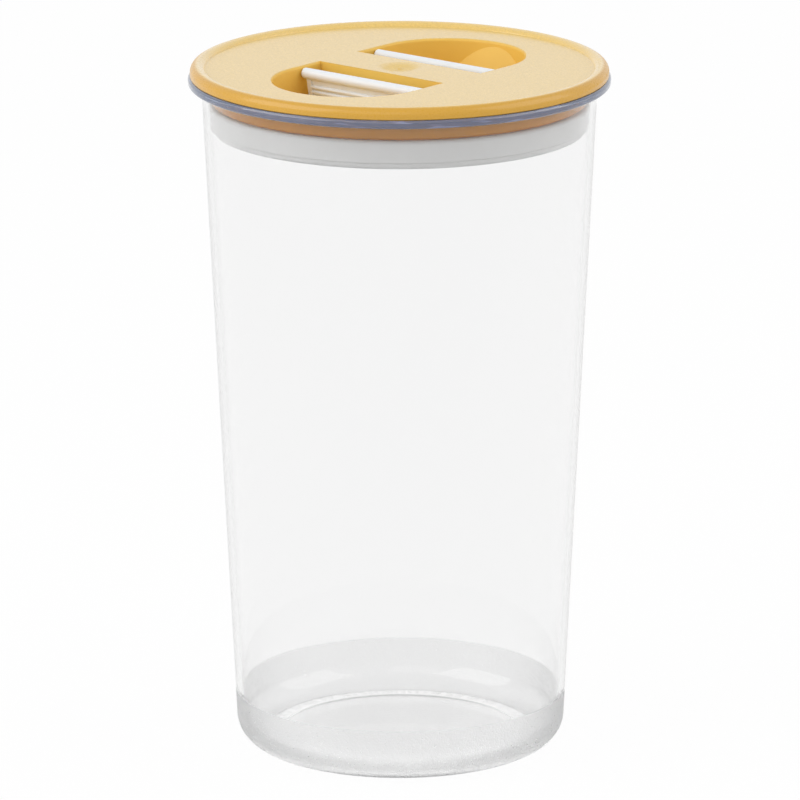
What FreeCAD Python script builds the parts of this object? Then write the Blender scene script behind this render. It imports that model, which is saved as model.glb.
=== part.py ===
import FreeCAD, Part
import math
import os

V = FreeCAD.Vector

# Driving sizes of the whole canister, in millimetres
TOP_Z = 218.5          # highest point of the lid above the table
RIM_H = 3.7            # lid rim above the jar's mouth
LID_R = 65.1           # outer radius of the lid's rim
FOOT_R = 51.32         # outer wall of the jar, carried straight down to the table
DRAFT = 0.0485         # outward slope of the wall, mm for each mm of height

# Jar
WALL = 2.0             # wall thickness
FLOOR_T = 3.0          # floor thickness
BASE_R = 8.9           # outer corner at the foot
INNER_R = 8.0          # inner corner at the floor
FOOT_RING_IN = 38.5    # inner radius of the ring the jar stands on
FOOT_RECESS = 0.8      # hollow of the underside inside that ring
FLANGE_R = 65.75       # outer radius of the flange round the mouth
FLANGE_T = 2.65        # flange thickness
FLANGE_ROUND = 0.95    # rounding of the flange's outer edge
FLANGE_ROOT = 1.5      # fillet where the wall meets the flange
MOUTH_CHAMFER = 0.6    # lead-in at the inner edge of the mouth

# Lid cover
MATTE_R = 60.4         # radius of the flat grained top
MATTE_DROP = 1.3       # how far that top lies below the rim's crest
CORNER_R = 2.3         # outer rounding of the rim, from its crest to its side
RIM_EDGE_R = 0.4       # rounding of the rim's lower edge
COVER_T = 2.0          # thickness of the top
SKIRT_R = 58.0         # outer radius of the skirt that enters the jar
SKIRT_T = 1.8          # skirt thickness
SKIRT_Z = TOP_Z - 11.3 # lower edge of the skirt
SKIRT_STEP_H = 0.7     # step cut back round that edge, height
SKIRT_STEP_D = 1.0     # and depth

# Finger wells: a pill-shaped recess crossed by a bridge along X
WELL_HALF_W = 24.4     # half width of the recess along X
WELL_END_Y = 23.1      # centre of each rounded end
BRIDGE_HALF = 9.0      # half width of the bridge
WELL_WALL = 1.8        # wall round each well
WELL_LIP_R = 0.9       # rounding of the wells' upper edge
SLOPE_DOWN = 1.55      # flat slope at a well's far end: its top below the lid's flat top
SLOPE_RUN = 5.1        # and its foot in from the end wall
DIMPLE_R = 7.2         # dished mark at the middle of the bridge
DIMPLE_DEPTH = 0.55
GATE_R = 0.6           # moulding point in the middle of the dish
GATE_H = 0.15

# Tray under the wells, screwed to the cover
GASKET_LIP_T = 1.2     # gasket lip held between skirt and tray
TRAY_Z = SKIRT_Z - GASKET_LIP_T
TRAY_T = 1.6
TRAY_R = 57.0
BOSS_X = 38.0          # screw bosses at plus and minus X and Y
BOSS_Y = 22.0
BOSS_R = 3.0
RIB_T = 1.2            # stiffening ribs under the cover
RIB_H = 5.0
SCREW_R = 1.1          # shank radius of the small screws
SCREW_HOLE_GAP = 0.05  # the thread itself isn't drawn

# Grips and their pins
PIVOT_Y = 12.7         # pin axis from the middle of the lid
PIVOT_Z = TRAY_Z + 2.3
LEAN = 10.8            # outward lean of a grip at rest, degrees
SQUEEZE = 24.0         # swing of a grip when it is pinched, degrees
PIN_R = 1.0
PIN_HALF = 19.2
PIN_CHAMFER = 0.25
PIN_GAP = 0.05         # running clearance in the grip's barrel
BARREL_R = 1.8
BARREL_HALF = 16.0
LUG_IN = 16.4          # lugs that hold the pin, from here to LUG_OUT along X
LUG_OUT = 19.0
LUG_R = 1.7
PANEL_Y = 15.9         # middle of the finger panel at the pin's height
PANEL_HALF = 22.7      # half width of the finger panel
PANEL_T = 2.0
PANEL_LOW = -1.7       # panel's lower edge from the pin's height, along the panel
PANEL_CORNER = 0.8
PANEL_FRAME = 1.6      # plain margin beside the ribbed field
PANEL_RECESS = 0.5     # depth of the ribbed field
BEAD_R = 1.7           # round bead along the top of a grip
BEAD_HALF = 24.1
BEAD_UP = 6.9          # bead above the pin's height, along the panel
BEAD_OUT = 0.35
BEAD_END = 0.8         # rounding of the bead's ends
FINGER_RIBS = 3
FINGER_RIB_R = 0.62
FINGER_RIB_PITCH = 1.7
FINGER_RIB_DOWN = 4.25 # first rib below the bead
WEB_T = 1.8            # web from the barrel out to the panel
TAIL_L = 6.5           # lever from the pin to its nose
TAIL_T = 1.6
TAIL_HALF = 6.0
TAIL_ROOM = 1.0        # clear space beside a tail where it passes the well's wall
TAIL_NOTCH_H = 3.6     # height of that notch above the pin
TAIL_SLOT = 3.2        # the tray's slot for the tails ends this far short of the pins
NOSE_R = 1.5

# Seal plate, pushed down by the grips' tails
PLATE_R = 57.7
PLATE_Z = TOP_Z - 20.5 # underside at rest
PLATE_T = 1.6
PLATE_RIM_Z = TOP_Z - 18.3
PLATE_LOW_ROUND = 1.1  # rounding of the plate's lower edge
PLATE_TOP_ROUND = 0.5
PLATE_RING_W = 4.3     # upright ring inside the plate's rim
PLATE_GROOVE = 2.9     # depth of the groove for the gasket's lower lip
PLATE_HOOK = 0.7       # overhang that keeps the lip in
PLATE_HOOK_T = 0.6
PLATE_RIB_H = 1.8
PLATE_RIBS = 8
HUB_IN = 20.0          # ring from which the plate's ribs start
HUB_T = 1.6
PAD_HALF = 1.35        # half depth of the pads under the noses
PAD_SIDE = 0.4         # how far a pad runs past its nose at each side
TIE_T = 1.6            # wall that ties both pads
TIE_DROP = 2.0
PUSH_GAP = 0.1         # between a tail's nose and its pad
POST_X = 16.0          # guide posts on the bridge's line
POST_R = 2.0
POST_GAP = 0.1         # running clearance in the tray
POST_TOP = TOP_Z - 5.8
GUIDE_R = 2.5          # collar round each guide hole, inside the spring
GUIDE_H = 1.0

# Return springs and what holds them
SPRING_R = 3.05        # mean radius of the coil
WIRE_R = 0.3
WIRE_SIDES = 8
SPRING_TURNS = 5
SPRING_CLEAR = 0.05    # between the coil's ends and their seats
WASHER_R = 4.0
WASHER_T = 0.8
HEAD_R = 2.3           # screw heads
HEAD_H = 1.2
HEAD_FLAT_R = 1.6      # flat on top of a head
HEAD_SIDE_H = 0.7      # straight side of a head
SCREW_L = 6.0          # depth of the screws' pilot holes
SHANK_L = 5.6
SCREW_END = 0.6        # blunt point

# Gasket
GASKET_GAP = 0.15      # between its outer face and the jar's wall
GASKET_ROUND = 1.2     # rounding of its outer edges
GASKET_WALL_IN = 57.2
GASKET_LIP = 1.0       # upper lip runs this far inside the skirt
GASKET_BEVEL = 0.6

# Working allowances
EMBED = 0.5            # how far a piece runs into the one it is moulded on
PAST = 1.0             # how far a cut runs past the face that it opens
HOLE_EASE = 0.2        # free hole round a screw's shank


def wall_r(z):
    """Outer radius of the jar's wall at height z."""
    return FOOT_R + DRAFT * z


def outline(start, *steps):
    """Closed wire in the XZ plane. A step is a point, or a middle and an end point for an arc."""
    def at(point):
        return V(point[0], 0, point[1])

    edges = []
    here = start
    for step in steps + (start,):
        arc = isinstance(step[0], tuple)
        end = step[1] if arc else step
        if arc:
            edges.append(Part.Arc(at(here), at(step[0]), at(end)).toShape())
        elif (at(end) - at(here)).Length > 1e-6:
            edges.append(Part.LineSegment(at(here), at(end)).toShape())
        here = end
    return Part.Wire(edges)


def turned(start, *steps):
    """Solid of revolution about Z from a closed outline of radius and height."""
    return Part.Face(outline(start, *steps)).revolve(V(0, 0, 0), V(0, 0, 1), 360)


def round_step(centre, radius, first, last):
    """Arc step for an outline: circle, from the first to the last angle in degrees."""
    def on(angle):
        turn = math.radians(angle)
        return (centre[0] + radius * math.cos(turn), centre[1] + radius * math.sin(turn))

    return (on((first + last) / 2), on(last))


def bar_x(radius, half, y=0.0, z=0.0):
    """Round bar along X, centred on X = 0."""
    return Part.makeCylinder(radius, 2 * half, V(-half, y, z), V(1, 0, 0))


def block(half_x, y0, y1, z0, z1, x=0.0):
    """Rectangular block centred on x."""
    return Part.makeBox(2 * half_x, y1 - y0, z1 - z0, V(x - half_x, y0, z0))


def upright(radius, z0, z1, x=0.0, y=0.0):
    """Round bar along Z."""
    return Part.makeCylinder(radius, z1 - z0, V(x, y, z0))


def half_turn(shape):
    """Copy turned half round about the canister's axis."""
    copy = shape.copy()
    copy.rotate(V(0, 0, 0), V(0, 0, 1), 180)
    return copy


def canister_body():
    """Tapered jar: standing ring, rounded foot, thin wall and a flange round the mouth."""
    lean = math.degrees(math.atan(DRAFT))
    slant = math.cos(math.radians(lean))
    mouth = TOP_Z - RIM_H
    under = mouth - FLANGE_T
    foot = (wall_r(BASE_R) - BASE_R / slant, BASE_R)
    inner_z = FLOOR_T + INNER_R
    inner = (wall_r(inner_z) - WALL - INNER_R / slant, inner_z)
    inner_start = round_step(inner, INNER_R, -lean, -lean)[1]
    root_z = under - FLANGE_ROOT
    root = (wall_r(root_z) + FLANGE_ROOT / slant, root_z)
    edge_r = FLANGE_R - FLANGE_ROUND
    bore_r = wall_r(mouth) - WALL
    return turned(
        (0, FOOT_RECESS),
        (FOOT_RING_IN - FOOT_RECESS, FOOT_RECESS),
        (FOOT_RING_IN, 0),
        (foot[0], 0),
        round_step(foot, BASE_R, -90, -lean),
        round_step(root, FLANGE_ROOT, 180 - lean, 180 - lean)[1],
        round_step(root, FLANGE_ROOT, 180 - lean, 90),
        (edge_r, under),
        round_step((edge_r, under + FLANGE_ROUND), FLANGE_ROUND, -90, 0),
        (FLANGE_R, mouth - FLANGE_ROUND),
        round_step((edge_r, mouth - FLANGE_ROUND), FLANGE_ROUND, 0, 90),
        (bore_r + MOUTH_CHAMFER, mouth),
        (bore_r, mouth - MOUTH_CHAMFER),
        inner_start,
        round_step(inner, INNER_R, -lean, -90),
        (0, FLOOR_T),
    )


def well_face(grow, z):
    """Outline of the +Y finger well at height z: a straight side, two flanks and a half circle."""
    half = WELL_HALF_W + grow
    low = BRIDGE_HALF - grow
    a = V(-half, low, z)
    b = V(half, low, z)
    c = V(half, WELL_END_Y, z)
    d = V(-half, WELL_END_Y, z)
    edges = [
        Part.LineSegment(a, b).toShape(),
        Part.LineSegment(b, c).toShape(),
        Part.Arc(c, V(0, WELL_END_Y + half, z), d).toShape(),
        Part.LineSegment(d, a).toShape(),
    ]
    return Part.Face(Part.Wire(edges))


def cover_shell():
    """Turned part of the cover: flat top, raised rim with a rounded crest, and stepped skirt."""
    top = TOP_Z - MATTE_DROP
    under = top - COVER_T
    mouth = TOP_Z - RIM_H
    crest_r = LID_R - CORNER_R
    rise_w = crest_r - MATTE_R
    rise_r = (rise_w ** 2 + MATTE_DROP ** 2) / (2 * MATTE_DROP)
    rise_from = 90 + math.degrees(math.asin(rise_w / rise_r))
    step_r = SKIRT_R - SKIRT_STEP_D
    step_z = SKIRT_Z + SKIRT_STEP_H
    return turned(
        (0, top),
        (MATTE_R, top),
        round_step((crest_r, TOP_Z - rise_r), rise_r, rise_from, 90),
        round_step((crest_r, TOP_Z - CORNER_R), CORNER_R, 90, 0),
        (LID_R, mouth + RIM_EDGE_R),
        round_step((LID_R - RIM_EDGE_R, mouth + RIM_EDGE_R), RIM_EDGE_R, 0, -90),
        (SKIRT_R, mouth),
        (SKIRT_R, step_z),
        (step_r, step_z),
        (step_r, SKIRT_Z),
        (SKIRT_R - SKIRT_T, SKIRT_Z),
        (SKIRT_R - SKIRT_T, under),
        (0, under),
    )


def boss_places():
    """Centres of the cover's screw bosses."""
    return [(sx * BOSS_X, sy * BOSS_Y) for sx in (1, -1) for sy in (1, -1)]


def cover_ribs(under):
    """Stiffening ribs from the wells and bosses out to the skirt."""
    reach = SKIRT_R - SKIRT_T / 2
    boss_angle = math.degrees(math.atan2(BOSS_Y, BOSS_X))
    ribs = []
    for angle in (0, 180, boss_angle, -boss_angle, 180 - boss_angle, 180 + boss_angle):
        start = WELL_HALF_W + EMBED if angle in (0, 180) else math.hypot(BOSS_X, BOSS_Y)
        rib = Part.makeBox(reach - start, RIB_T, RIB_H, V(start, -RIB_T / 2, under - RIB_H))
        rib.rotate(V(0, 0, 0), V(0, 0, 1), angle)
        ribs.append(rib)
    return ribs


def well_slope():
    """Flat slope at the far end of the +Y well, from below its lip down to the tray."""
    end = WELL_END_Y + WELL_HALF_W
    rise = TOP_Z - MATTE_DROP - SLOPE_DOWN - TRAY_Z
    high = TRAY_Z + rise * (1 + EMBED / SLOPE_RUN)
    ramp = [V(0, end - SLOPE_RUN, TRAY_Z), V(0, end + EMBED, TRAY_Z), V(0, end + EMBED, high)]
    wedge = Part.Face(Part.makePolygon(ramp + ramp[:1])).extrude(V(2 * WELL_HALF_W, 0, 0))
    wedge.translate(V(-WELL_HALF_W, 0, 0))
    return wedge.common(well_face(EMBED, TRAY_Z).extrude(V(0, 0, high - TRAY_Z)))


def lid_cover():
    """Yellow cover with both finger wells, the bridge between them and the skirt."""
    top = TOP_Z - MATTE_DROP
    under = top - COVER_T
    depth = top - TRAY_Z
    walls = well_face(WELL_WALL, TRAY_Z).extrude(V(0, 0, depth - COVER_T / 2))
    bosses = [upright(BOSS_R, TRAY_Z, under + EMBED, x, y) for x, y in boss_places()]
    cover = cover_shell().multiFuse([walls, half_turn(walls)] + bosses + cover_ribs(under))
    well = well_face(0.0, TRAY_Z - PAST).extrude(V(0, 0, depth + 2 * PAST))
    reach = BRIDGE_HALF + PAST
    notch = block(TAIL_HALF + TAIL_ROOM, -reach, reach, TRAY_Z - PAST, PIVOT_Z + TAIL_NOTCH_H)
    pilot_r = SCREW_R + SCREW_HOLE_GAP
    pilots = [upright(pilot_r, TRAY_Z - PAST, TRAY_Z + SCREW_L, x, y) for x, y in boss_places()]
    dish_r = (DIMPLE_R ** 2 + DIMPLE_DEPTH ** 2) / (2 * DIMPLE_DEPTH)
    dish = Part.makeSphere(dish_r, V(0, 0, top - DIMPLE_DEPTH + dish_r))
    cover = cover.cut([well, half_turn(well), notch, dish] + pilots).removeSplitter()
    cover = cover.makeFillet(WELL_LIP_R, well_lip_edges(cover, top))
    dish_z = top - DIMPLE_DEPTH
    gate = upright(GATE_R, dish_z - EMBED, dish_z + GATE_H)
    slope = well_slope()
    return cover.multiFuse([gate, slope, half_turn(slope)]).removeSplitter()


def well_lip_edges(cover, top):
    """Upper edges of the wells along their flanks and round ends."""
    lips = []
    for edge in cover.Edges:
        box = edge.BoundBox
        level = abs(box.ZMin - top) < 1e-4 and abs(box.ZMax - top) < 1e-4
        across = box.YLength < 1e-4
        outer = max(abs(box.YMin), abs(box.YMax)) > BRIDGE_HALF + PAST
        inside = max(abs(box.XMin), abs(box.XMax)) < WELL_HALF_W + 1e-3
        if level and outer and inside and not across:
            lips.append(edge)
    return lips


def pin_lugs():
    """The four lugs on the tray that hold the grips' pins."""
    lugs = []
    for sy in (1, -1):
        for sx in (1, -1):
            x = sx * (LUG_IN + LUG_OUT) / 2
            half = (LUG_OUT - LUG_IN) / 2
            y = sy * PIVOT_Y
            foot = block(half, y - LUG_R, y + LUG_R, TRAY_Z - EMBED, PIVOT_Z, x)
            crown = Part.makeCylinder(LUG_R, 2 * half, V(x - half, y, PIVOT_Z), V(1, 0, 0))
            lugs += [foot, crown]
    return lugs


def lid_tray():
    """Floor of both wells: carries the pins, guides the seal plate's posts, seats the springs."""
    low = TRAY_Z - TRAY_T
    disc = upright(TRAY_R, low, TRAY_Z)
    collars = [upright(GUIDE_R, low, TRAY_Z + GUIDE_H, sx * POST_X) for sx in (1, -1)]
    tray = disc.multiFuse(pin_lugs() + collars)
    slot_y = PIVOT_Y - TAIL_SLOT
    slot = block(TAIL_HALF + TAIL_ROOM + PAD_SIDE, -slot_y, slot_y, low - PAST, TRAY_Z + PAST)
    guide_top = TRAY_Z + GUIDE_H + PAST
    guides = [upright(POST_R + POST_GAP, low - PAST, guide_top, sx * POST_X) for sx in (1, -1)]
    pins = [bar_x(PIN_R, PIN_HALF + PAST, sy * PIVOT_Y, PIVOT_Z) for sy in (1, -1)]
    screws = [upright(SCREW_R + HOLE_EASE, low - PAST, TRAY_Z + PAST, x, y) for x, y in boss_places()]
    return tray.cut([slot] + guides + pins + screws).removeSplitter()


def finger_panel():
    """Leaning panel with a bead on top and a ribbed field, its middle at the pin's height on the origin."""
    panel = block(PANEL_HALF, -PANEL_T / 2, PANEL_T / 2, PANEL_LOW, BEAD_UP)
    corners = [e for e in panel.Edges if e.BoundBox.XLength < 1e-4 and e.BoundBox.ZMax < PANEL_LOW + 1e-4]
    panel = panel.makeFillet(PANEL_CORNER, corners)
    bead = bar_x(BEAD_R, BEAD_HALF, BEAD_OUT, BEAD_UP)
    bead = bead.makeFillet(BEAD_END, [e for e in bead.Edges if e.BoundBox.XLength < 1e-4])
    face = PANEL_T / 2 - PANEL_RECESS
    field_half = PANEL_HALF - PANEL_FRAME
    field = block(field_half, face, PANEL_T, PANEL_LOW - PAST, BEAD_UP - BEAD_R)
    first = BEAD_UP - FINGER_RIB_DOWN
    heights = [first - k * FINGER_RIB_PITCH for k in range(FINGER_RIBS)]
    ribs = [bar_x(FINGER_RIB_R, field_half + EMBED, face, z) for z in heights]
    paddle = panel.cut(field).multiFuse([bead] + ribs)
    paddle.rotate(V(0, 0, 0), V(1, 0, 0), -LEAN)
    return paddle


def rear_grip():
    """Grip of the +Y well: finger panel, web to the barrel on the pin, lever tail towards the middle."""
    paddle = finger_panel()
    paddle.translate(V(0, PANEL_Y - PIVOT_Y, 0))
    web = block(BARREL_HALF, 0, PANEL_Y - PIVOT_Y, -WEB_T / 2, WEB_T / 2)
    barrel = bar_x(BARREL_R, BARREL_HALF)
    bore = bar_x(PIN_R + PIN_GAP, BARREL_HALF + PAST)
    grip = paddle.multiFuse([web, barrel] + tail()).cut(bore).removeSplitter()
    grip.translate(V(0, PIVOT_Y, PIVOT_Z))
    return grip


def tail():
    """Lever from the barrel towards the middle of the lid, rising by half the swing, with a round nose."""
    rise = SQUEEZE / 2
    lever = block(TAIL_HALF, -TAIL_L, 0, -TAIL_T / 2, TAIL_T / 2)
    nose = bar_x(NOSE_R, TAIL_HALF, -TAIL_L)
    for solid in (lever, nose):
        solid.rotate(V(0, 0, 0), V(1, 0, 0), -rise)
    return [lever, nose]


def grip_pin(y):
    """Plain steel pin with chamfered ends."""
    pin = bar_x(PIN_R, PIN_HALF, y, PIVOT_Z)
    return pin.makeChamfer(PIN_CHAMFER, [e for e in pin.Edges if e.BoundBox.XLength < 1e-4])


def plate_disc():
    """Turned part of the seal plate: flat underside, rounded rim, hooked ring for the gasket's lip."""
    web = PLATE_Z + PLATE_T
    hook_low = PLATE_RIM_Z + GASKET_LIP_T
    hook_top = hook_low + PLATE_HOOK_T
    ring_in = PLATE_R - PLATE_RING_W
    groove_r = PLATE_R - PLATE_GROOVE
    hook_r = groove_r + PLATE_HOOK
    low_r = PLATE_R - PLATE_LOW_ROUND
    top_r = PLATE_R - PLATE_TOP_ROUND
    return turned(
        (0, PLATE_Z),
        (low_r, PLATE_Z),
        round_step((low_r, PLATE_Z + PLATE_LOW_ROUND), PLATE_LOW_ROUND, -90, 0),
        (PLATE_R, PLATE_RIM_Z - PLATE_TOP_ROUND),
        round_step((top_r, PLATE_RIM_Z - PLATE_TOP_ROUND), PLATE_TOP_ROUND, 0, 90),
        (groove_r, PLATE_RIM_Z),
        (groove_r, hook_low),
        (hook_r, hook_low),
        (hook_r - PLATE_HOOK_T / 2, hook_top),
        (ring_in, hook_top),
        (ring_in, web),
        (0, web),
    )


def pusher():
    """Two pads that the grips' noses press, tied by a cross wall."""
    root = PLATE_Z + PLATE_T - EMBED
    rise = math.radians(SQUEEZE / 2)
    nose_y = PIVOT_Y - TAIL_L * math.cos(rise)
    pad_z = PIVOT_Z + TAIL_L * math.sin(rise) - NOSE_R - PUSH_GAP
    half = TAIL_HALF + PAD_SIDE
    pads = [block(half, sy * nose_y - PAD_HALF, sy * nose_y + PAD_HALF, root, pad_z) for sy in (1, -1)]
    tie = block(TIE_T / 2, -nose_y, nose_y, root, pad_z - TIE_DROP)
    return pads + [tie]


def plate_ribs(root):
    """Hub ring and the stiffening ribs that run from it to the plate's rim."""
    top = root + PLATE_RIB_H + EMBED
    start = HUB_IN + HUB_T / 2
    reach = PLATE_R - PLATE_RING_W + EMBED
    step = 360 / PLATE_RIBS
    ribs = [turned((HUB_IN, root), (HUB_IN + HUB_T, root), (HUB_IN + HUB_T, top), (HUB_IN, top))]
    for k in range(PLATE_RIBS):
        rib = Part.makeBox(reach - start, RIB_T, top - root, V(start, -RIB_T / 2, root))
        rib.rotate(V(0, 0, 0), V(0, 0, 1), step * (k + 0.5))
        ribs.append(rib)
    return ribs


def seal_plate():
    """White plate under the tray: pusher, guide posts and stiffening ribs on its upper side."""
    root = PLATE_Z + PLATE_T - EMBED
    posts = [upright(POST_R, root, POST_TOP, sx * POST_X) for sx in (1, -1)]
    plate = plate_disc().multiFuse(posts + pusher() + plate_ribs(root))
    pilot_r = SCREW_R + SCREW_HOLE_GAP
    pilots = [upright(pilot_r, POST_TOP - SCREW_L, POST_TOP + PAST, sx * POST_X) for sx in (1, -1)]
    return plate.cut(pilots).removeSplitter()


def seal_gasket():
    """Silicone sleeve between tray and plate, close to the jar's wall, with a lip at each end."""
    lip_z = PLATE_RIM_Z + GASKET_LIP_T
    top_in = SKIRT_R - SKIRT_T - GASKET_LIP
    low_in = PLATE_R - PLATE_GROOVE
    high = SKIRT_Z - GASKET_ROUND
    low = PLATE_RIM_Z + GASKET_ROUND
    high_r = wall_r(high) - WALL - GASKET_GAP
    low_r = wall_r(low) - WALL - GASKET_GAP
    return turned(
        (top_in, SKIRT_Z),
        (high_r - GASKET_ROUND, SKIRT_Z),
        round_step((high_r - GASKET_ROUND, high), GASKET_ROUND, 90, 0),
        (low_r, low),
        round_step((low_r - GASKET_ROUND, low), GASKET_ROUND, 0, -90),
        (low_in, PLATE_RIM_Z),
        (low_in, lip_z),
        (GASKET_WALL_IN - GASKET_BEVEL, lip_z),
        (GASKET_WALL_IN, lip_z + GASKET_BEVEL),
        (GASKET_WALL_IN, TRAY_Z),
        (top_in, TRAY_Z),
    )


def biarc(p0, t0, p1, t1):
    """Two arcs that run from p0 along t0 to p1 along t1 and meet with one direction."""
    chord = p1 - p0
    both = t0 + t1
    a = 2 * (1 - t0.dot(t1))
    b = 2 * chord.dot(both)
    c = -chord.dot(chord)
    reach = (-b + math.sqrt(b * b - 4 * a * c)) / (2 * a)
    meet = (p0 + t0 * reach + p1 - t1 * reach) * 0.5
    along = (p1 - t1 * reach - p0 - t0 * reach).normalize()
    return [arc_along(p0, t0, meet), arc_along(meet, along, p1)]


def arc_along(start, direction, end):
    """Arc from start to end that leaves start along direction."""
    chord = end - start
    normal = (chord - direction * chord.dot(direction)).normalize()
    radius = chord.dot(chord) / (2 * chord.dot(normal))
    centre = start + normal * radius
    bisector = ((start - centre) + (end - centre)).normalize()
    return Part.Arc(start, centre + bisector * radius, end).toShape()


def return_spring(x):
    """Compression spring round a guide post: one wire on quarter-turn biarcs."""
    low = TRAY_Z + WIRE_R + SPRING_CLEAR
    high = POST_TOP - WIRE_R - SPRING_CLEAR
    pitch = (high - low) / SPRING_TURNS
    rise = pitch / (2 * math.pi)

    def place(turn):
        return V(x + SPRING_R * math.cos(turn), SPRING_R * math.sin(turn), low + rise * turn)

    def heading(turn):
        return V(-SPRING_R * math.sin(turn), SPRING_R * math.cos(turn), rise).normalize()

    edges = []
    for k in range(4 * SPRING_TURNS):
        a = k * math.pi / 2
        b = (k + 1) * math.pi / 2
        edges += biarc(place(a), heading(a), place(b), heading(b))
    section = wire_section(place(0), heading(0))
    print("spring at x", x, "least gap between turns", round(pitch - 2 * WIRE_R, 3))
    return Part.Wire(edges).makePipeShell([section], True, False)


def wire_section(centre, heading):
    """Eight-sided section of the spring wire, square to its heading."""
    across = heading.cross(V(0, 0, 1)).normalize()
    upward = across.cross(heading)
    turns = [math.radians(360 * k / WIRE_SIDES) for k in range(WIRE_SIDES + 1)]
    corners = [centre + (across * math.cos(t) + upward * math.sin(t)) * WIRE_R for t in turns]
    return Part.makePolygon(corners)


def washer(x):
    """Flat washer on a guide post, under its screw."""
    return turned(
        (SCREW_R + HOLE_EASE, POST_TOP),
        (WASHER_R, POST_TOP),
        (WASHER_R, POST_TOP + WASHER_T),
        (SCREW_R + HOLE_EASE, POST_TOP + WASHER_T),
    ).translated(V(x, 0, 0))


def screw(x, y, seat, up):
    """Small pan-head screw: head on the seat, on its upper side if up is 1, shank the other way."""
    body = turned(
        (0, HEAD_H),
        (HEAD_FLAT_R, HEAD_H),
        (HEAD_R, HEAD_SIDE_H),
        (HEAD_R, 0),
        (SCREW_R, 0),
        (SCREW_R, SCREW_END - SHANK_L),
        (0, -SHANK_L),
    )
    if up < 0:
        body.rotate(V(0, 0, 0), V(1, 0, 0), 180)
    return body.translated(V(x, y, seat))


def group(solids):
    """Like pieces kept as separate solids in one node."""
    return Part.makeCompound(solids)


def main():
    """Build every piece, report its volume and write it out."""
    os.makedirs("parts", exist_ok=True)
    grip = rear_grip()
    pieces = {
        "canister_body": canister_body(),
        "lid_cover": lid_cover(),
        "lid_tray": lid_tray(),
        "front_grip": half_turn(grip),
        "rear_grip": grip,
        "front_grip_pin": grip_pin(-PIVOT_Y),
        "rear_grip_pin": grip_pin(PIVOT_Y),
        "seal_plate": seal_plate(),
        "seal_gasket": seal_gasket(),
        "left_return_spring": return_spring(-POST_X),
        "right_return_spring": return_spring(POST_X),
        "spring_washers": group([washer(-POST_X), washer(POST_X)]),
        "post_screws": group([screw(sx * POST_X, 0, POST_TOP + WASHER_T, 1) for sx in (-1, 1)]),
        "tray_screws": group([screw(x, y, TRAY_Z - TRAY_T, -1) for x, y in boss_places()]),
    }
    for name, shape in pieces.items():
        print(name, "valid", shape.isValid(), "solids", len(shape.Solids), "mm3", round(shape.Volume, 1))
        shape.exportStep("parts/" + name + ".step")


main()
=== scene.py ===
import math

import bmesh
import bpy
import numpy as np
from bpy.props import FloatProperty, FloatVectorProperty, IntProperty, PointerProperty
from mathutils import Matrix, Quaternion, Vector


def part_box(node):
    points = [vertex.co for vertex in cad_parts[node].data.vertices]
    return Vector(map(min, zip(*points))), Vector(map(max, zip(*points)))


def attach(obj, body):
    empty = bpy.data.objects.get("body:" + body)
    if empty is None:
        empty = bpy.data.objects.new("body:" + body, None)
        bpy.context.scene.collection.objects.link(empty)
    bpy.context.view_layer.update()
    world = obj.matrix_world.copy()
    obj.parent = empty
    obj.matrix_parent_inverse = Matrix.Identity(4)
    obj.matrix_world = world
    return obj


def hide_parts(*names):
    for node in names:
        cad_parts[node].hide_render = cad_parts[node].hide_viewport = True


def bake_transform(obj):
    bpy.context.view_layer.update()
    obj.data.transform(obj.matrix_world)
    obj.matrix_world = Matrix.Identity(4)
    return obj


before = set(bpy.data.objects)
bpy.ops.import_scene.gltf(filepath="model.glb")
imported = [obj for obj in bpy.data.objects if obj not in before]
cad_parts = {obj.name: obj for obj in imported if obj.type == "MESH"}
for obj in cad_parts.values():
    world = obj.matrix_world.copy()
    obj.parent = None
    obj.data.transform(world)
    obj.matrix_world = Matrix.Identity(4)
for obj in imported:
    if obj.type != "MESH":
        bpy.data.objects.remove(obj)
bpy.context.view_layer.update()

bl_info = {
    "name": "Clear Food Canister",
    "version": (1, 0, 0),
    "blender": (4, 5, 0),
    "location": "3D View > Sidebar > Canister",
    "description": "Finishes, jar, gasket and springs of a clear canister with a pinch-grip lid",
    "category": "Object",
}

MM = 0.001
JAR_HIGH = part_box("canister_body")[1]
LID_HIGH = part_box("lid_cover")[1]
GASKET_LOW, GASKET_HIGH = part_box("seal_gasket")
SPRINGS = ("left_return_spring", "right_return_spring")
WIRE_SIDES = 14
STEPS_PER_TURN = 40
SHADER = "ShaderNodeBsdfPrincipled"

# Each lamp's turn from the camera and height, in degrees, and its size in metres
LAMPS = {"left": (-68, 30, 1.6), "right": (80, 30, 1.6), "front": (-12, 34, 1.0)}

# Metres from the canister's axis towards the camera, between which the floor's white fades in for gloss
GLOSS_START = 0.5
GLOSS_END = 0.1


def length(name, description, millimetres):
    """Property for a size, given in millimetres and kept in metres."""
    return FloatProperty(name=name, description=description, default=millimetres * MM,
                         min=0.0, precision=5, subtype="DISTANCE", unit="LENGTH")


def angle(name, description, degrees):
    """Property for an angle, given in degrees and kept in radians."""
    return FloatProperty(name=name, description=description, default=math.radians(degrees), subtype="ANGLE")


def colour(name, description, rgb):
    """Property for a colour, given as the numbers 0 to 255 of the screen and kept linear."""
    parts = [c / 255 for c in rgb]
    linear = [c / 12.92 if c <= 0.04045 else ((c + 0.055) / 1.055) ** 2.4 for c in parts]
    return FloatVectorProperty(name=name, description=description, default=linear,
                               size=3, min=0.0, max=1.0, subtype="COLOR")


def share(name, description, value):
    """Property for a plain number from nought to one."""
    return FloatProperty(name=name, description=description, default=value, min=0.0, max=1.0)


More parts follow.
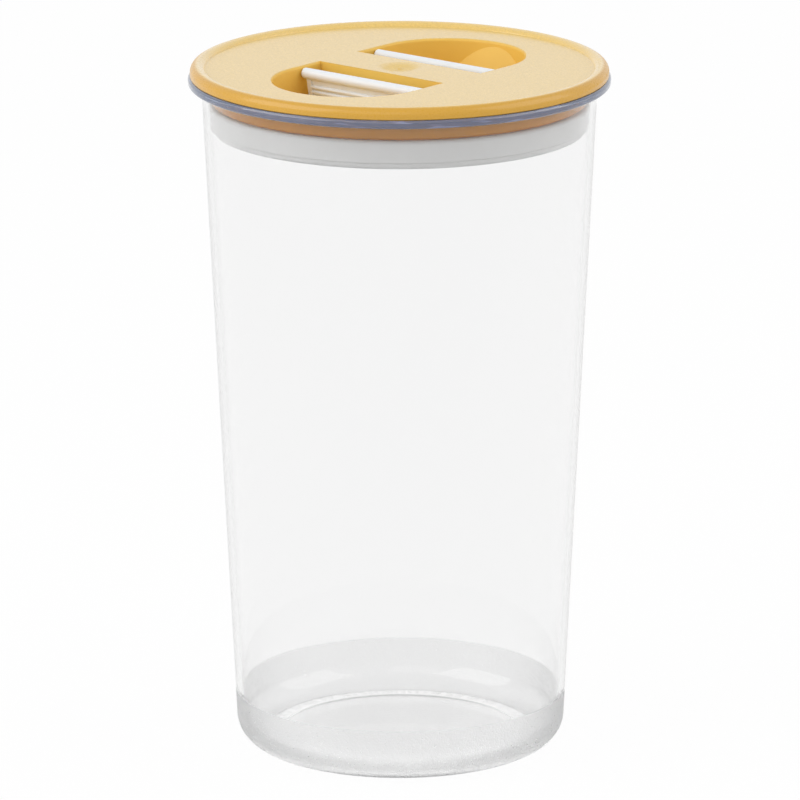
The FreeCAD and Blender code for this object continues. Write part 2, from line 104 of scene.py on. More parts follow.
class JarSizes(bpy.types.PropertyGroup):
    """Sizes of the clear jar."""

    foot_radius: length("Foot radius", "Outer wall carried straight down to the table", 51.32)
    draft: FloatProperty(name="Draft", description="Outward slope of the wall", default=0.0485)
    wall: length("Wall", "Thickness of the wall", 2.0)
    floor: length("Floor", "Thickness of the floor", 3.0)
    foot_round: length("Foot rounding", "Outer corner at the foot", 8.9)
    inner_round: length("Inner rounding", "Inner corner at the floor", 8.0)
    ring: length("Standing ring", "Inner radius of the ring the jar stands on", 38.5)
    recess: length("Recess", "Hollow of the underside inside that ring", 0.8)
    flange: length("Flange", "Thickness of the flange round the mouth", 2.65)
    flange_round: length("Flange rounding", "Rounding of the flange's outer edge", 0.95)
    flange_fade: length("Flange fade", "Width over which the flange's colour comes in", 2.0)
    flange_below: length("Flange below", "Height of the fillet under the flange that takes its colour", 1.0)
    lead_in: length("Mouth lead-in", "Rounded lead-in at the inner edge of the mouth", 0.6)
    root: length("Flange root", "Fillet where the wall meets the flange", 1.5)
    frost: length("Frosted height", "Height of the frosted foot", 17.75)
    frost_edge: length("Frost edge", "Height over which the frosting fades out", 0.5)
    frost_under: share("Underside frost", "Strength of the frosting on the underside", 0.3)
    segments: IntProperty(name="Segments", description="Faces round the jar", default=240, min=24)


class LidSizes(bpy.types.PropertyGroup):
    """Places on the lid where its finish changes."""

    flat_radius: length("Flat radius", "Radius of the flat grained top", 60.4)
    flat_edge: length("Flat edge", "Width over which the grain fades at the rim's foot", 0.5)
    flat_drop: length("Flat drop", "Depth of the flat top below the rim's crest", 1.3)
    lip_start: length("Lip start", "Depth below the flat top where its pale finish starts to fade", 0.02)
    lip_end: length("Lip end", "Depth below the flat top where the pale finish has gone", 0.28)
    skirt_radius: length("Skirt radius", "Radius outside which the lid's skirt starts", 55.0)
    # Painted shade: the skirt's deeper yellow comes in over this depth below the jar's mouth
    skirt_shade_fade: length("Skirt fade", "Depth below the jar's mouth at which the skirt's colour is full", 1.0)
    crest_radius: length("Crest radius", "Radius of the rim's crest, where that finish starts to fade", 62.8)
    shoulder_radius: length("Shoulder radius", "Radius of the rim's shoulder, where it has gone", 63.9)
    dimple_radius: length("Dimple radius", "Radius of the shallow dimple in the middle", 7.2)


class SealSizes(bpy.types.PropertyGroup):
    """Sizes of the gasket and the return springs."""

    gap: length("Gap", "Between the gasket's outer face and the jar's wall", 0.15)
    top_edge: length("Upper edge", "Rounding of the gasket's upper outer edge", 1.2)
    low_edge: length("Lower edge", "Rounding of the gasket's lower outer edge", 0.35)
    top_lip: length("Upper lip", "Inner radius of the upper lip", 55.2)
    low_lip: length("Lower lip", "Inner radius of the lower lip", 54.8)
    bevel: length("Bevel", "Bevel between the wall and the lower lip", 0.6)
    lip: length("Lip thickness", "Thickness of the gasket's two lips", 1.2)
    wall: length("Gasket wall radius", "Inner radius of the gasket's wall", 57.2)
    wire: length("Wire radius", "Radius of the spring wire", 0.3)
    turns: IntProperty(name="Turns", description="Turns of each return spring", default=5, min=1)
    segments: IntProperty(name="Segments", description="Faces round the gasket", default=192, min=24)


class GrainSizes(bpy.types.PropertyGroup):
    """Sizes of the fine patterns in the finishes, and of the painted highlight streaks round the flange."""

    lid_grain: length("Lid grain", "Grain of the lid's flat top", 0.45)
    lid_cloud: length("Lid cloud", "Faint patches in the lid's plastic", 9.0)
    white_grain: length("White grain", "Grain of the white plastic", 0.3)
    white_cloud: length("White cloud", "Faint patches in the white plastic", 6.0)
    silicone_grain: length("Silicone grain", "Grain of the gasket", 0.25)
    silicone_cloud: length("Silicone cloud", "Faint patches in the gasket", 5.0)
    scratch: length("Scratch", "Width of the scratches on the steel", 0.1)
    frost_grain: length("Frost grain", "Grain of the frosted foot", 0.6)
    # Painted highlights: height of the glint streaks painted round the flange
    glint_streak: length("Streak", "Height of the streaks round the flange", 0.7)


class Colours(bpy.types.PropertyGroup):
    """Colours of the finishes."""

    yellow: colour("Yellow", "Moulded plastic of the lid", (208, 158, 54))
    # Painted light: the well yellow is lighter than the lid's plastic, standing in for light bounced round
    # inside the finger wells
    well: colour("Well yellow", "Lighter yellow inside the finger wells", (235, 191, 88))
    # The grained top's own tone, painted paler as well, standing in for its sheen
    matt: colour("Matt yellow", "Pale grained top of the lid", (228, 192, 100))
    # Painted shade: a deeper yellow for the skirt inside the neck, standing in for the shade under the flange
    skirt: colour("Skirt", "Deeper yellow of the skirt inside the neck", (222, 149, 36))
    grip: colour("Grip white", "Cool white plastic of the grips", (231, 236, 241))
    plate: colour("Plate white", "White plastic of the seal plate", (243, 243, 242))
    silicone: colour("Silicone", "Soft gasket", (245, 245, 244))
    clear: colour("Clear", "Clear plastic of the wall", (250, 250, 250))
    frost: colour("Frost", "Milky bloom of the frosted foot", (250, 251, 251))
    flange: colour("Flange", "Blue-grey of the thick flange", (86, 98, 126))
    steel: colour("Steel", "Pins, springs, washers and screws", (178, 178, 180))


class ViewSizes(bpy.types.PropertyGroup):
    """Camera and light."""

    azimuth: angle("Azimuth", "Camera's turn about the canister", 40.0)
    elevation: angle("Elevation", "Camera's height above the level", 14.817)
    roll: angle("Roll", "Camera's tilt to one side", -0.083)
    distance: length("Distance", "Camera from the point it aims at", 2407.6)
    aim: length("Aim", "Height of the point the camera aims at", 110.3)
    lens: FloatProperty(name="Lens", description="Focal length in millimetres", default=345.09)
    sensor: FloatProperty(name="Sensor", description="Frame width in millimetres", default=36.0)
    floor_half: length("Floor", "Half width of the floor", 6000.0)
    floor_white: share("Floor white", "Share of plain white in the floor as it is seen", 0.97)
    floor_tone: share("Floor tone", "Grey of the floor as it lights the canister", 0.88)
    sky: FloatProperty(name="Sky", description="Soft light from all round", default=0.62)
    lamp_distance: length("Lamp distance", "Lamps from the point they aim at", 1700.0)
    left: FloatProperty(name="Left lamp", description="Watts of the lamp at the left", default=15.5)
    right: FloatProperty(name="Right lamp", description="Watts of the lamp at the right", default=10.5)
    front: FloatProperty(name="Front lamp", description="Watts of the lamp over the camera", default=2.0)


class Socket:
    """Output of a node, on which shader sums are written as Python expressions."""

    def __init__(self, finish, output):
        self.finish = finish
        self.output = output

    def math(self, operation, first, second):
        """Math node of this kind on two sockets or numbers."""
        return self.finish.node("ShaderNodeMath", {"operation": operation}, {0: first, 1: second})

    def __add__(self, other):
        return self.math("ADD", self, other)

    __radd__ = __add__

    def __sub__(self, other):
        return self.math("SUBTRACT", self, other)

    def __rsub__(self, other):
        return self.math("SUBTRACT", other, self)

    def __mul__(self, other):
        return self.math("MULTIPLY", self, other)

    __rmul__ = __mul__

    def __gt__(self, other):
        return self.math("GREATER_THAN", self, other)

    def __lt__(self, other):
        return self.math("LESS_THAN", self, other)

    def __pow__(self, other):
        return self.math("POWER", self, other)

    def __or__(self, other):
        return self.math("MAXIMUM", self, other)


class Finish:
    """A material or world under construction, with one method that adds any node."""

    def __init__(self, block):
        self.block = block
        block.use_nodes = True
        self.tree = block.node_tree
        self.tree.nodes.clear()

    def node(self, kind, settings=None, inputs=None, output=0):
        """Add a node, set its settings first, then the values or links of its sockets."""
        made = self.tree.nodes.new(kind)
        for key, value in (settings or {}).items():
            setattr(made, key, value)
        for key, value in (inputs or {}).items():
            if isinstance(value, Socket):
                self.tree.links.new(value.output, made.inputs[key])
            else:
                made.inputs[key].default_value = value
        return Socket(self, made.outputs[output]) if made.outputs else made

    def mix(self, factor, first, second):
        """Colour between first and second."""
        return self.node("ShaderNodeMix", {"data_type": "RGBA"}, {0: factor, 6: first, 7: second}, 2)

    def ramp(self, value, start, end):
        """0 at start and before, 1 at end and after, eased between."""
        return self.node("ShaderNodeMapRange", {"interpolation_type": "SMOOTHSTEP"},
                         {"Value": value, "From Min": start, "From Max": end})

    def place(self):
        """The piece's own coordinates, in metres: x, y, z as three sockets, and the vector."""
        vector = self.node("ShaderNodeTexCoord", output="Object")
        return [self.node("ShaderNodeSeparateXYZ", None, {0: vector}, k) for k in range(3)] + [vector]

    def noise(self, vector, grain, detail=2.0):
        """Even noise with features of about the given size in metres, from 0 to 1."""
        return self.node("ShaderNodeTexNoise", None,
                         {"Vector": vector, "Scale": 1.0 / grain, "Detail": detail, "Roughness": 0.55}, "Fac")

    def bump(self, height, strength, depth):
        """Normal bent by a height map of the given depth in metres."""
        return self.node("ShaderNodeBump", None,
                         {"Height": height, "Strength": strength, "Distance": depth}, "Normal")

    def rays(self, *kinds):
        """1 for rays of any of these kinds."""
        found = [self.node("ShaderNodeLightPath", output=kind) for kind in kinds]
        seen = found[0]
        for other in found[1:]:
            seen = seen | other
        return seen

    def surface(self, shader):
        """Use this shader for the surface."""
        world = isinstance(self.block, bpy.types.World)
        self.node("ShaderNodeOutputWorld" if world else "ShaderNodeOutputMaterial", None, {"Surface": shader})
        return self.block

    def principled(self, **inputs):
        """Finish the material with a Principled shader; keys are socket names with _ for spaces."""
        named = {key.replace("_", " "): value for key, value in inputs.items()}
        return self.surface(self.node(SHADER, None, named))


def new_finish(name):
    """Empty material under construction."""
    return Finish(bpy.data.materials.new(name))


def rgba(rgb, factor=1.0):
    """Colour property as a socket's four numbers, made lighter or darker by a factor."""
    return (*(c * factor for c in rgb), 1.0)


def yellow_plastic():
    """Lid plastic: pale and grained on the flat top, painted paler there for its sheen, glossier on the rim,
    lighter in the wells with painted light, deeper on the skirt with painted shade.
    """
    tones = bpy.context.scene.canister_colours
    lid = bpy.context.scene.canister_lid
    sizes = bpy.context.scene.canister_grain
    finish = new_finish("yellow_plastic")
    x, y, z, vector = finish.place()
    radius = (x * x + y * y) ** 0.5

    # How much of each finish, painted light and painted shade there is at a place, from 0 to 1
    flat_z = LID_HIGH[2] - lid.flat_drop
    middle = radius < lid.dimple_radius
    level = finish.ramp(z, flat_z - lid.lip_end, flat_z - lid.lip_start) | middle
    # The pale grained top: its colour is partly painted sheen, and it also takes the coat
    matt = finish.ramp(radius, lid.shoulder_radius, lid.crest_radius) * level
    flat = finish.ramp(radius, lid.flat_radius + lid.flat_edge, lid.flat_radius) * level
    # Inside the wells, where the finish is rougher and painted light makes the yellow lighter
    well = (radius < lid.skirt_radius) * (1 - level)
    dimple = finish.ramp(radius, lid.dimple_radius, 0.5 * lid.dimple_radius)
    # Painted shade on the skirt, full from a little below the jar's mouth
    skirt = (radius > lid.skirt_radius) * finish.ramp(z, JAR_HIGH[2], JAR_HIGH[2] - lid.skirt_shade_fade)
    rim = (1 - matt) * (radius > lid.flat_radius)

    # Colours, with light and dark specks in the pale top, which is also painted paler for its sheen; painted
    # light in the wells, painted shade on the skirt
    grain = finish.noise(vector, sizes.lid_grain)
    cloud = finish.noise(vector, sizes.lid_cloud)
    specks = finish.mix(grain, rgba(tones.matt, 1.26), rgba(tones.matt, 0.68))
    # Painted light: the wells take the lighter well yellow
    shade = finish.mix(well, rgba(tones.yellow), rgba(tones.well))
    shade = finish.mix(cloud * 0.1, shade, rgba(tones.yellow, 0.7))
    # Partly painted sheen: the grained top takes the paler matt yellow with its specks
    shade = finish.mix(matt, shade, specks)
    # Painted shade: the skirt takes the deeper yellow
    shade = finish.mix(skirt, shade, rgba(tones.skirt))

    # Sheen: full on the pale top, less on the rim and in the dimple, none in the wells
    coat = (matt * 0.92 + rim * 0.25) * (1 - dimple * 0.7)
    rough = 0.24 + (flat + well) * 0.2 + grain * 0.08
    bent = finish.bump((grain - 0.5) * (flat * 0.95 + 0.05), strength=0.8, depth=0.25 * MM)
    return finish.principled(Base_Color=shade, Roughness=rough, Normal=bent, IOR=1.45,
                             Specular_IOR_Level=0.35, Coat_Weight=coat, Coat_Roughness=0.2, Coat_IOR=1.7)


def white_plastic(name, tone):
    """Satin white moulding."""
    sizes = bpy.context.scene.canister_grain
    finish = new_finish(name)
    vector = finish.place()[3]
    cloud = finish.noise(vector, sizes.white_cloud)
    grain = finish.noise(vector, sizes.white_grain)
    shade = finish.mix(cloud, rgba(tone), rgba(tone, 0.97))
    bent = finish.bump(grain, strength=0.3, depth=0.02 * MM)
    return finish.principled(Base_Color=shade, Roughness=0.26 + cloud * 0.1, Normal=bent, IOR=1.5)


def soft_silicone():
    """Matt white silicone with a faint cloudiness."""
    tones = bpy.context.scene.canister_colours
    sizes = bpy.context.scene.canister_grain
    finish = new_finish("silicone")
    vector = finish.place()[3]
    cloud = finish.noise(vector, sizes.silicone_cloud, detail=3.0)
    grain = finish.noise(vector, sizes.silicone_grain)
    shade = finish.mix(cloud, rgba(tones.silicone), rgba(tones.silicone, 0.96))
    bent = finish.bump(grain, strength=0.3, depth=0.03 * MM)
    return finish.principled(Base_Color=shade, Roughness=0.45 + cloud * 0.12, Normal=bent, IOR=1.41)


def plain_steel():
    """Drawn steel with fine scratches along X."""
    tones = bpy.context.scene.canister_colours
    sizes = bpy.context.scene.canister_grain
    finish = new_finish("steel")
    vector = finish.place()[3]
    drawn = finish.node("ShaderNodeMapping", None, {"Vector": vector, "Scale": (0.05, 1.0, 1.0)})
    scratch = finish.noise(drawn, sizes.scratch)
    shade = finish.mix(scratch, rgba(tones.steel), rgba(tones.steel, 0.8))
    return finish.principled(Base_Color=shade, Metallic=1.0, Roughness=0.25 + scratch * 0.2)


def clear_plastic():
    """Clear jar: glossy wall, blue-grey thick flange, finely grained milky frosting outside the foot."""
    tones = bpy.context.scene.canister_colours
    sizes = bpy.context.scene.canister_grain
    finish = new_finish("clear_plastic")
    vector = finish.place()[3]
    frost = finish.node("ShaderNodeAttribute", {"attribute_name": "frost"}, output="Fac")
    flange = finish.node("ShaderNodeAttribute", {"attribute_name": "flange"}, output="Fac")
    grain = finish.noise(vector, sizes.frost_grain)

    # Clear plastic, roughened where it is frosted
    rough = 0.03 + frost * (0.2 + grain * 0.14)
    bent = finish.bump((grain - 0.5) * frost, strength=0.9, depth=0.14 * MM)
    glass = {"Base Color": rgba(tones.clear), "Roughness": rough, "Normal": bent, "IOR": 1.5,
             "Transmission Weight": 1.0}

    # Over it a white bloom on the frosted foot, and a dark edge with painted highlight streaks on the flange
    drawn = finish.node("ShaderNodeMapping", None, {"Vector": vector, "Scale": (0.06, 0.06, 1.0)})
    glint_streak = finish.noise(drawn, sizes.glint_streak)
    # Painted highlight: the flange's blue-grey is lit up 2.5 times along the streaks
    glint = finish.ramp(glint_streak, 0.55, 0.75)
    edge = finish.mix(glint, rgba(tones.flange), rgba(tones.flange, 2.5))
    bloom = finish.mix(flange, rgba(tones.frost), edge)
    milky = {"Base Color": bloom, "Roughness": 0.1 + frost * 0.4, "Normal": bent, "IOR": 1.5,
             "Coat Weight": flange * 0.7, "Coat Roughness": 0.06, "Coat IOR": 1.6}
    # The painted highlight streaks also let more of the clear plastic show through the flange's cover
    cover = frost * (0.06 + grain * 0.12) + flange * (0.98 - glint_streak * 0.36)
    shaders = {0: cover, 1: finish.node(SHADER, None, glass), 2: finish.node(SHADER, None, milky)}
    return finish.surface(finish.node("ShaderNodeMixShader", None, shaders))


def finish_nodes(material, *nodes):
    """Give CAD nodes this material in all their slots."""
    for name in nodes:
        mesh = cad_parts[name].data
        mesh.materials.clear()
        mesh.materials.append(material)


def arc(centre, radius, first, last, count):
    """Points of a circle from the first to the last angle in degrees, evenly spaced."""
    turn = np.radians(np.linspace(first, last, count))
    return np.stack([centre[0] + radius * np.cos(turn), centre[1] + radius * np.sin(turn)], axis=1)


def run(start, end, count):
    """Points of a straight line, evenly spaced."""
    step = np.linspace(0.0, 1.0, count)[:, None]
    return np.array(start) * (1 - step) + np.array(end) * step


def tidy_profile(*stretches):
    """Stretches of a profile joined end to end, without doubled points."""
    points = np.vstack(stretches)
    apart = np.linalg.norm(np.diff(points, axis=0), axis=1) > 1e-7
    return points[np.concatenate([[True], apart])]


def grid_faces(rows, columns, wrap_rows):
    """Quads of a grid whose columns close on themselves, and whose rows do if wrap_rows is true."""
    row = np.arange(rows if wrap_rows else rows - 1)[:, None]
    column = np.arange(columns)[None, :]
    beside = (column + 1) % columns
    above = (row + 1) % rows
    lower = [row * columns + column, row * columns + beside]
    upper = [above * columns + beside, above * columns + column]
    return np.stack(lower + upper, axis=2).reshape(-1, 4)


def fan_faces(centre, first, columns):
    """Triangles from one pole to the ring of vertices that starts at first."""
    ring = np.arange(columns)
    return np.stack([np.full(columns, centre), first + ring, first + (ring + 1) % columns], axis=1)


def new_piece(name, verts, faces, material, sharp=35.0):
    """Object at the origin from vertices and lists of faces, outward faces, smooth but for sharp edges."""
    mesh = bpy.data.meshes.new(name)
    mesh.from_pydata(verts.tolist(), [], [f for block in faces for f in block.tolist()])
    shell = bmesh.new()
    shell.from_mesh(mesh)
    bmesh.ops.recalc_face_normals(shell, faces=shell.faces)
    shell.to_mesh(mesh)
    shell.free()
    mesh.shade_smooth()
    mesh.set_sharp_from_angle(angle=math.radians(sharp))
    mesh.materials.append(material)
    piece = bpy.data.objects.new(name, mesh)
    bpy.context.scene.collection.objects.link(piece)
    return piece


def lathe(name, profile, segments, material, closed):
    """Surface of revolution: x = r cos u, y = r sin u, z = h for each profile point (r, h).

    A closed profile joins its last row to its first. An open one starts and ends in a pole on the axis.
    """
    turn = np.linspace(0.0, 2 * np.pi, segments, endpoint=False)
    rows = profile if closed else profile[1:-1]
    height = np.repeat(rows[:, 1, None], segments, axis=1)
    grid = np.stack([rows[:, 0, None] * np.cos(turn), rows[:, 0, None] * np.sin(turn), height], axis=2)
    verts = grid.reshape(-1, 3)
    faces = [grid_faces(len(rows), segments, closed)]
    if not closed:
        poles = np.array([[0.0, 0.0, profile[0, 1]], [0.0, 0.0, profile[-1, 1]]])
        faces.append(fan_faces(len(verts), 0, segments))
        faces.append(fan_faces(len(verts) + 1, len(verts) - segments, segments))
        verts = np.vstack([verts, poles])
    return new_piece(name, verts, faces, material)


def radius_and_height(piece):
    """Distance from the axis and height of every vertex."""
    place = np.empty(3 * len(piece.data.vertices))
    piece.data.vertices.foreach_get("co", place)
    place = place.reshape(-1, 3)
    return np.hypot(place[:, 0], place[:, 1]), place[:, 2]


def set_attribute(piece, name, values):
    """Store one number for each vertex."""
    attribute = piece.data.attributes.new(name, "FLOAT", "POINT")
    attribute.data.foreach_set("value", values.astype(np.float32))


def smooth_step(low, high, value):
    """0 below low, 1 above high, eased between."""
    part = np.clip((value - low) / (high - low), 0.0, 1.0)
    return part * part * (3 - 2 * part)


def wall_radius(jar, z):
    """Outer radius of the jar's wall at height z."""
    return jar.foot_radius + jar.draft * z


def foot_corner(jar):
    """Centre of the outer rounding at the foot."""
    slant = math.cos(math.atan(jar.draft))
    return wall_radius(jar, jar.foot_round) - jar.foot_round / slant, jar.foot_round


def jar_profile(jar):
    """Closed half section of the jar, from the middle of the underside, up outside and down inside."""
    lean = math.degrees(math.atan(jar.draft))
    slant = math.cos(math.radians(lean))
    mouth = JAR_HIGH[2]
    under = mouth - jar.flange
    inner_z = jar.floor + jar.inner_round
    inner = (wall_radius(jar, inner_z) - jar.wall - jar.inner_round / slant, inner_z)
    root_z = under - jar.root
    root = (wall_radius(jar, root_z) + jar.root / slant, root_z)
    fillet = arc(root, jar.root, 180 - lean, 90, 12)
    edge = JAR_HIGH[0] - jar.flange_round
    bore = wall_radius(jar, mouth) - jar.wall
    outside = arc(foot_corner(jar), jar.foot_round, -90, -lean, 24)
    inside = arc(inner, jar.inner_round, -lean, -90, 24)
    frost_top = (wall_radius(jar, jar.frost), jar.frost)
    hollow = (jar.ring - jar.recess, jar.recess)
    return tidy_profile(
        run((0.0, jar.recess), hollow, 6),
        run(hollow, (jar.ring, 0.0), 4),
        outside,
        run(outside[-1], frost_top, 18),
        run(frost_top, fillet[0], 40),
        fillet,
        arc((edge, under + jar.flange_round), jar.flange_round, -90, 0, 14),
        arc((edge, mouth - jar.flange_round), jar.flange_round, 0, 90, 14),
        arc((bore + jar.lead_in, mouth - jar.lead_in), jar.lead_in, 90, 180, 9),
        run((bore, mouth - jar.lead_in), inside[0], 50),
        inside,
        run(inside[-1], (0.0, jar.floor), 8),
    )


def gasket_profile(size, jar):
    """Closed section of the gasket: outer face along the jar's wall, rounded edges, a lip at each end."""
    low = GASKET_LOW[2]
    high = GASKET_HIGH[2]
    upper = high - size.top_edge
    lower = low + size.low_edge
    upper_r = wall_radius(jar, upper) - jar.wall - size.gap
    lower_r = wall_radius(jar, lower) - jar.wall - size.gap
    lip_low = low + size.lip
    lip_high = high - size.lip
    return tidy_profile(
        run((size.top_lip, high), (upper_r - size.top_edge, high), 5),
        arc((upper_r - size.top_edge, upper), size.top_edge, 90, 0, 10),
        run((upper_r, upper), (lower_r, lower), 14),
        arc((lower_r - size.low_edge, lower), size.low_edge, 0, -90, 6),
        run((lower_r - size.low_edge, low), (size.low_lip, low), 5),
        run((size.low_lip, low), (size.low_lip, lip_low), 3),
        run((size.low_lip, lip_low), (size.wall - size.bevel, lip_low), 3),
        run((size.wall, lip_low + size.bevel), (size.wall, lip_high), 6),
        run((size.wall, lip_high), (size.top_lip, lip_high), 4),
        run((size.top_lip, lip_high), (size.top_lip, high), 3)[:-1],
    )


def spring_piece(node, size, material):
    """Helix tube: the wire's circle, turned square to a helix of the node's radius, height and turns."""
    low, high = (np.array(corner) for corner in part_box(node))
    centre = (low + high) / 2
    coil = (high[0] - low[0]) / 2 - size.wire
    foot = low[2] + size.wire
    rise = (high[2] - low[2] - 2 * size.wire) / (2 * np.pi * size.turns)
    around = np.linspace(0.0, 2 * np.pi, WIRE_SIDES, endpoint=False)[None, :, None]
    turn = np.linspace(0.0, 2 * np.pi * size.turns, STEPS_PER_TURN * size.turns + 1)[:, None]
    spread = np.hypot(coil, rise)
    outward = np.stack([np.cos(turn), np.sin(turn), 0 * turn], axis=2)
    middle = np.stack([centre[0] + 0 * turn, centre[1] + 0 * turn, foot + rise * turn], axis=2)
    path = middle + coil * outward
    upward = np.stack([rise * np.sin(turn), -rise * np.cos(turn), coil + 0 * turn], axis=2) / spread
    tube = path + size.wire * (np.sin(around) * upward - np.cos(around) * outward)
    rows, columns = tube.shape[:2]
    verts = np.vstack([tube.reshape(-1, 3), path[0], path[-1]])
    last = rows * columns
    caps = [fan_faces(last, 0, columns), fan_faces(last + 1, last - columns, columns)]
    faces = [grid_faces(rows, columns, False)] + caps
    return new_piece(node + "_coil", verts, faces, material, sharp=50.0)


class CANISTER_OT_jar(bpy.types.Operator):
    """Turn the clear jar and frost its foot"""

    bl_idname = "canister.jar"
    bl_label = "Jar"

    def execute(self, context):
        size = context.scene.canister_jar
        jar = lathe("jar", jar_profile(size), size.segments, clear_plastic(), False)
        radius, height = radius_and_height(jar)
        outer = radius > wall_radius(size, height) - size.wall / 2
        corner_r, corner_z = foot_corner(size)
        far = np.hypot(radius - corner_r, height - corner_z) > size.foot_round - size.wall / 4
        side = outer | (far & (height < corner_z) & (radius > corner_r))
        underside = (radius <= corner_r) & (height < size.floor / 2)
        fade = 1.0 - smooth_step(size.frost - size.frost_edge, size.frost, height)
        set_attribute(jar, "frost", fade * side + underside * size.frost_under)
        flange_z = JAR_HIGH[2] - size.flange
        flange_r = wall_radius(size, flange_z)
        reach = smooth_step(flange_r, flange_r + size.flange_fade, radius)
        set_attribute(jar, "flange", reach * (height > flange_z - size.flange_below))
        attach(jar, "canister")
        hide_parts("canister_body")
        return {"FINISHED"}


class CANISTER_OT_gasket(bpy.types.Operator):
    """Turn the soft gasket that sits between the lid and the seal plate"""

    bl_idname = "canister.gasket"
    bl_label = "Gasket"

    def execute(self, context):
        size = context.scene.canister_seal
        profile = gasket_profile(size, context.scene.canister_jar)
        gasket = lathe("gasket_sleeve", profile, size.segments, soft_silicone(), True)
        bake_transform(gasket)
        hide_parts("seal_gasket")
        return {"FINISHED"}


class CANISTER_OT_springs(bpy.types.Operator):
    """Wind the return springs that stand between the tray and the plate's posts"""

    bl_idname = "canister.springs"
    bl_label = "Return springs"

    def execute(self, context):
        size = context.scene.canister_seal
        material = bpy.data.materials["steel"]
        for node in SPRINGS:
            coil = spring_piece(node, size, material)
            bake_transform(coil)
            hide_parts(node)
        return {"FINISHED"}


class CANISTER_OT_lid(bpy.types.Operator):
    """Finish the yellow cover and tray"""

    bl_idname = "canister.lid"
    bl_label = "Lid"

    def execute(self, context):
        finish_nodes(yellow_plastic(), "lid_cover", "lid_tray")
        return {"FINISHED"}


class CANISTER_OT_grips(bpy.types.Operator):
    """Finish the white grips and the seal plate"""

    bl_idname = "canister.grips"
    bl_label = "Grips and seal plate"

    def execute(self, context):
        tones = context.scene.canister_colours
        finish_nodes(white_plastic("grip_plastic", tones.grip), "front_grip", "rear_grip")
        finish_nodes(white_plastic("plate_plastic", tones.plate), "seal_plate")
        return {"FINISHED"}


class CANISTER_OT_steel(bpy.types.Operator):
    """Finish the pins, washers and screws"""

    bl_idname = "canister.steel"
    bl_label = "Pins, washers and screws"

    def execute(self, context):
        names = ("front_grip_pin", "rear_grip_pin", "spring_washers", "post_screws", "tray_screws")
        finish_nodes(plain_steel(), *names)
        return {"FINISHED"}


def aimed(azimuth, elevation):
    """Direction from the canister towards a viewer at this turn and height."""
    level = math.cos(elevation)
    return Vector((math.sin(azimuth) * level, -math.cos(azimuth) * level, math.sin(elevation)))


def floor_material(view):
    """White floor: mostly plain white where it is seen, with the canister's soft shadow.

    Gloss sees it plain white only behind the canister, so that the front keeps its depth of colour.
    """
    finish = new_finish("floor")
    x, y = finish.place()[:2]
    back = aimed(view.azimuth, 0.0)
    behind = finish.ramp(x * back.x + y * back.y, GLOSS_START, GLOSS_END)
    seen = finish.rays("Is Camera Ray", "Is Transmission Ray") | finish.rays("Is Glossy Ray") * behind
    plain = finish.node("ShaderNodeEmission", None, {"Color": (1, 1, 1, 1), "Strength": 1.0})
    matt = finish.node("ShaderNodeBsdfDiffuse", None, {"Color": rgba([view.floor_tone] * 3)})
    shaders = {0: seen * view.floor_white, 1: matt, 2: plain}
    return finish.surface(finish.node("ShaderNodeMixShader", None, shaders))


def sky_world(view):
    """White surround: strength 1 where it is seen, softer as light."""
    finish = Finish(bpy.data.worlds.new("surround"))
    seen = finish.rays("Is Camera Ray", "Is Glossy Ray", "Is Transmission Ray")
    strength = seen + (1 - seen) * view.sky
    light = finish.node("ShaderNodeBackground", None, {"Color": (1, 1, 1, 1), "Strength": strength})
    return finish.surface(light)


def area_lamp(name, place, aim, size, watts):
    """Square soft lamp turned towards aim."""
    light = bpy.data.lights.new(name, "AREA")
    light.size = size
    light.energy = watts
    lamp = bpy.data.objects.new(name, light)
    lamp.location = place
    lamp.rotation_euler = (Vector(aim) - Vector(place)).to_track_quat("-Z", "Y").to_euler()
    bpy.context.scene.collection.objects.link(lamp)


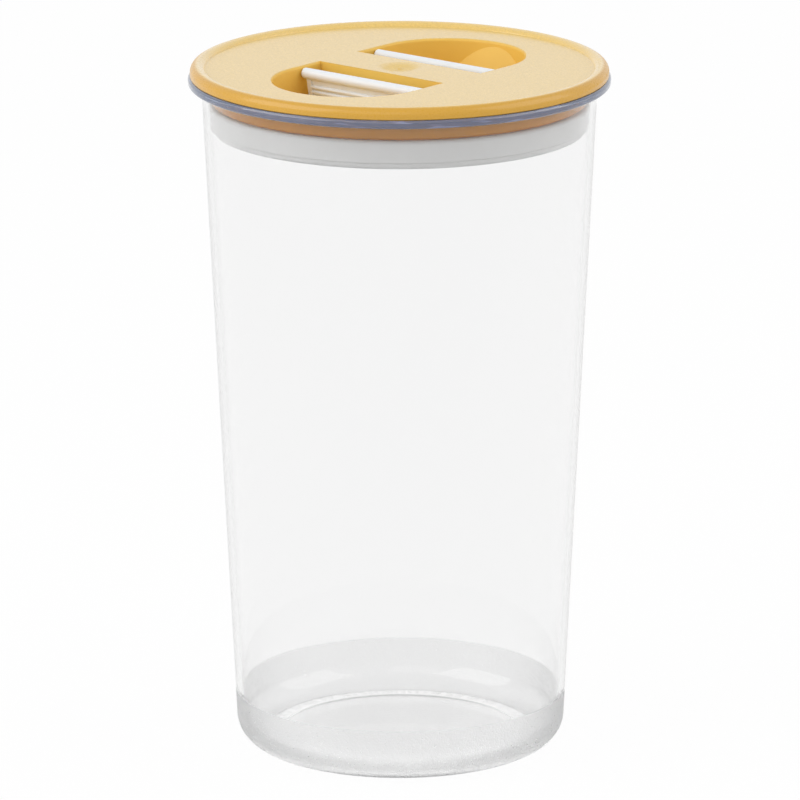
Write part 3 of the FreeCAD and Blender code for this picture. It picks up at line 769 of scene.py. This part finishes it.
class CANISTER_OT_stage(bpy.types.Operator):
    """Set the floor, the light and the camera"""

    bl_idname = "canister.stage"
    bl_label = "Stage"

    def execute(self, context):
        view = context.scene.canister_view
        half = view.floor_half
        mesh = bpy.data.meshes.new("floor")
        corners = [(-half, -half, 0.0), (half, -half, 0.0), (half, half, 0.0), (-half, half, 0.0)]
        mesh.from_pydata(corners, [], [(0, 1, 2, 3)])
        mesh.materials.append(floor_material(view))
        floor = bpy.data.objects.new("floor", mesh)
        context.scene.collection.objects.link(floor)
        context.scene.world = sky_world(view)
        middle = Vector((0.0, 0.0, view.aim))
        for name, (turn, height, size) in LAMPS.items():
            way = aimed(view.azimuth + math.radians(turn), math.radians(height))
            area_lamp(name + "_lamp", middle + way * view.lamp_distance, middle, size, getattr(view, name))
        back = aimed(view.azimuth, view.elevation)
        camera = bpy.data.objects.new("camera", bpy.data.cameras.new("camera"))
        camera.data.lens = view.lens
        camera.data.sensor_width = view.sensor
        camera.data.clip_end = 100.0
        camera.location = middle + back * view.distance
        facing = back.to_track_quat("Z", "Y") @ Quaternion((0.0, 0.0, 1.0), view.roll)
        camera.rotation_euler = facing.to_euler()
        context.scene.collection.objects.link(camera)
        context.scene.camera = camera
        context.scene.view_settings.view_transform = "Standard"
        return {"FINISHED"}


class CANISTER_PT_panel(bpy.types.Panel):
    """Canister's sizes, colours and steps"""

    bl_idname = "CANISTER_PT_panel"
    bl_label = "Canister"
    bl_space_type = "VIEW_3D"
    bl_region_type = "UI"
    bl_category = "Canister"

    def draw(self, context):
        for group in GROUPS:
            values = getattr(context.scene, group)
            for key in values.__annotations__:
                self.layout.prop(values, key)
        for step in STEPS:
            self.layout.operator("canister." + step)


STEPS = ("lid", "grips", "steel", "jar", "gasket", "springs", "stage")
GROUPS = {
    "canister_jar": JarSizes,
    "canister_lid": LidSizes,
    "canister_seal": SealSizes,
    "canister_grain": GrainSizes,
    "canister_colours": Colours,
    "canister_view": ViewSizes,
}
CLASSES = (
    *GROUPS.values(),
    CANISTER_OT_jar, CANISTER_OT_gasket, CANISTER_OT_springs, CANISTER_OT_lid, CANISTER_OT_grips,
    CANISTER_OT_steel, CANISTER_OT_stage, CANISTER_PT_panel,
)


def register():
    """Add the classes and the scene's property groups."""
    for made in CLASSES:
        bpy.utils.register_class(made)
    for name, group in GROUPS.items():
        setattr(bpy.types.Scene, name, PointerProperty(type=group))


def unregister():
    """Take the property groups and classes away again."""
    for name in GROUPS:
        delattr(bpy.types.Scene, name)
    for made in reversed(CLASSES):
        bpy.utils.unregister_class(made)


def main():
    """Register and run every step in order."""
    register()
    for step in STEPS:
        getattr(bpy.ops.canister, step)()


if __name__ == "__main__":
    main()
